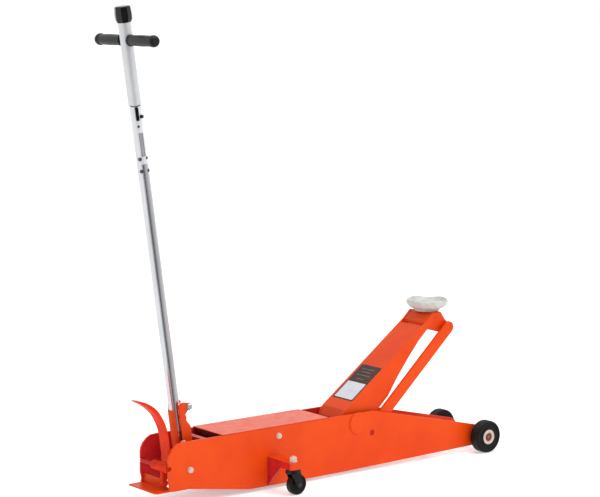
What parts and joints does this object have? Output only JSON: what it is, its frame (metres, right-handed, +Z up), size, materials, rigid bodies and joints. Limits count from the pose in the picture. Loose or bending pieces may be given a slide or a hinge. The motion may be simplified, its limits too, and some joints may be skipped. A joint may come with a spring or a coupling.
{
  "type": "hydraulic floor jack",
  "caption": "Long-chassis hydraulic floor jack on wheels and casters, with an upright pump handle, a foot pedal and a levelled lifting saddle on a raised arm.",
  "frame": {"origin": "on the floor, under the middle of the whole jack's bounding box", "axes": "+X forward along the chassis to the front wheels, +Y to the jack's left, +Z up along the tall handle"},
  "size_m": [1.5318, 0.425, 1.6029],
  "materials": {
    "orange_paint": "glossy orange paint",
    "chrome": "polished",
    "bare_steel": "turned steel, lightly oiled",
    "zinc_plate": "dull zinc plate",
    "black_rubber": "matte black",
    "wheel_rubber": "matte black solid tyre",
    "black_plastic": "satin black",
    "black_paint": "satin black paint",
    "light_cast_metal": "pale plated casting"
  },
  "bodies": {
    "chassis": {"side_plate_right": "orange_paint", "side_plate_left": "orange_paint", "top_cover": "orange_paint", "tail_plate": "orange_paint", "caster_bracket_right": "orange_paint", "caster_bracket_left": "orange_paint", "front_cross_tube": "orange_paint", "cover_crossbar": "orange_paint", "cylinder_bulkhead": "orange_paint", "main_pivot_shaft": "bare_steel", "link_anchor_pin_right": "orange_paint", "link_anchor_pin_left": "orange_paint", "front_axle": "bare_steel", "pedal_shaft": "bare_steel", "rear_frame_bolt_right": "chrome", "rear_frame_bolt_left": "chrome", "front_frame_bolt_right": "chrome", "front_frame_bolt_left": "chrome", "pump_body": "orange_paint", "reservoir_tube": "orange_paint", "ram_cylinder": "bare_steel", "cylinder_head": "bare_steel", "yoke_pivot_pin_right": "bare_steel", "yoke_pivot_pin_left": "bare_steel", "return_spring_right": "zinc_plate", "return_spring_left": "zinc_plate"},
    "ram": {"ram_rod": "chrome", "crosshead": "bare_steel", "crosshead_pin": "bare_steel"},
    "lift": {"lift_arm": "orange_paint"},
    "links": {"link_right": "orange_paint", "link_left": "orange_paint", "link_pin": "orange_paint"},
    "saddle_carrier": {"saddle_mount": "orange_paint", "saddle_mount_pin": "bare_steel"},
    "saddle": {"saddle": "light_cast_metal"},
    "handle": {"handle_socket": "orange_paint", "clamp_bolt": "chrome", "lower_tube": "chrome", "upper_tube": "chrome", "cross_bar": "chrome", "grip_right": "black_rubber", "grip_left": "black_rubber", "latch_plate": "black_plastic"},
    "roller": {"pump_roller": "bare_steel"},
    "button": {"latch_button": "black_plastic"},
    "release": {"release_knob": "black_plastic", "release_rod": "bare_steel"},
    "valve": {"release_valve": "bare_steel"},
    "plunger": {"pump_plunger": "bare_steel"},
    "pedal": {"foot_pedal": "orange_paint"},
    "foot_rod": {"foot_pump_rod": "bare_steel"},
    "front_wheel_right": {"front_tyre_right": "wheel_rubber", "front_hub_right": "zinc_plate"},
    "caster_right": {"caster_fork_right": "black_paint"},
    "caster_wheel_right": {"caster_wheel_right": "wheel_rubber"},
    "front_wheel_left": {"front_tyre_left": "wheel_rubber", "front_hub_left": "zinc_plate"},
    "caster_left": {"caster_fork_left": "black_paint"},
    "caster_wheel_left": {"caster_wheel_left": "wheel_rubber"}
  },
  "joints": [
    {"name": "lift", "type": "hinge", "parent": "chassis", "child": "lift", "pos_m": [0.1459, 0, 0.1743], "axis": [0, -1, 0], "range_deg": [-46.8, 2]},
    {"name": "link_swing", "type": "hinge", "parent": "chassis", "child": "links", "pos_m": [0.2085, 0, 0.1328], "axis": [0, -1, 0], "range_deg": [-47, 2.2]},
    {"name": "saddle_level", "type": "hinge", "parent": "lift", "child": "saddle_carrier", "pos_m": [0.50751, 0, 0.50392], "axis": [0, -1, 0], "range_deg": [-2.2, 47]},
    {"name": "saddle_swivel", "type": "hinge", "parent": "saddle_carrier", "child": "saddle", "pos_m": [0.5308, 0, 0.50392], "axis": [0, 0, 1], "continuous": true},
    {"name": "ram_slide", "type": "slide", "parent": "chassis", "child": "ram", "axis": [1, 0, 0], "range_m": [-0.076, 0.0036], "deforming": ["return_spring_right", "return_spring_left"]},
    {"name": "handle_swing", "type": "hinge", "parent": "chassis", "child": "handle", "pos_m": [-0.5321, 0, 0.13], "axis": [0, -1, 0], "range_deg": [-8, 30]},
    {"name": "roller_spin", "type": "hinge", "parent": "handle", "child": "roller", "pos_m": [-0.5321, 0.0445, 0.075], "axis": [0, 1, 0], "continuous": true},
    {"name": "pump_stroke", "type": "slide", "parent": "chassis", "child": "plunger", "axis": [1, 0, 0], "range_m": [-0.0079, 0.029]},
    {"name": "release_turn", "type": "hinge", "parent": "handle", "child": "release", "pos_m": [-0.73767, 0, 1.57444], "axis": [-0.1409, 0, 0.99], "range_deg": [0, 270]},
    {"name": "valve_turn", "type": "hinge", "parent": "chassis", "child": "valve", "pos_m": [-0.5321, 0, 0.13], "axis": [-0.6, 0, 0.8], "range_deg": [0, 270]},
    {"name": "latch_press", "type": "slide", "parent": "handle", "child": "button", "axis": [-0.3709, 0.9272, -0.0528], "range_m": [0, 0.003], "stiffness_N_per_m": 400, "springref_m": -0.0015},
    {"name": "pedal_swing", "type": "hinge", "parent": "chassis", "child": "pedal", "pos_m": [-0.6337, 0, 0.1278], "axis": [0, -1, 0], "range_deg": [0, 20], "stiffness_Nm_per_rad": 6, "springref_deg": -34.38},
    {"name": "foot_pump_stroke", "type": "slide", "parent": "chassis", "child": "foot_rod", "axis": [1, 0, 0], "range_m": [0, 0.0186]},
    {"name": "front_wheel_spin_right", "type": "hinge", "parent": "chassis", "child": "front_wheel_right", "pos_m": [0.7078, -0.12185, 0.0579], "axis": [0, 1, 0], "continuous": true},
    {"name": "caster_swivel_right", "type": "hinge", "parent": "chassis", "child": "caster_right", "pos_m": [-0.2146, -0.1891, 0.083], "axis": [0, 0, 1], "continuous": true},
    {"name": "caster_wheel_spin_right", "type": "hinge", "parent": "caster_right", "child": "caster_wheel_right", "pos_m": [-0.2022, -0.1891, 0.0345], "axis": [0, 1, 0], "continuous": true},
    {"name": "front_wheel_spin_left", "type": "hinge", "parent": "chassis", "child": "front_wheel_left", "pos_m": [0.7078, 0.12185, 0.0579], "axis": [0, 1, 0], "continuous": true},
    {"name": "caster_swivel_left", "type": "hinge", "parent": "chassis", "child": "caster_left", "pos_m": [-0.2146, 0.1891, 0.083], "axis": [0, 0, 1], "continuous": true},
    {"name": "caster_wheel_spin_left", "type": "hinge", "parent": "caster_left", "child": "caster_wheel_left", "pos_m": [-0.2022, 0.1891, 0.0345], "axis": [0, 1, 0], "continuous": true}
  ],
  "couplings": [
    {"joint": "link_swing", "follows": "lift", "ratio": 1},
    {"joint": "saddle_level", "follows": "lift", "ratio": -1},
    {"joint": "ram_slide", "follows": "lift", "m_per_rad": 0.09055},
    {"joint": "pump_stroke", "follows": "handle_swing", "m_per_rad": 0.055},
    {"joint": "valve_turn", "follows": "release_turn", "ratio": 1},
    {"joint": "foot_pump_stroke", "follows": "pedal_swing", "m_per_rad": 0.0528}
  ]
}
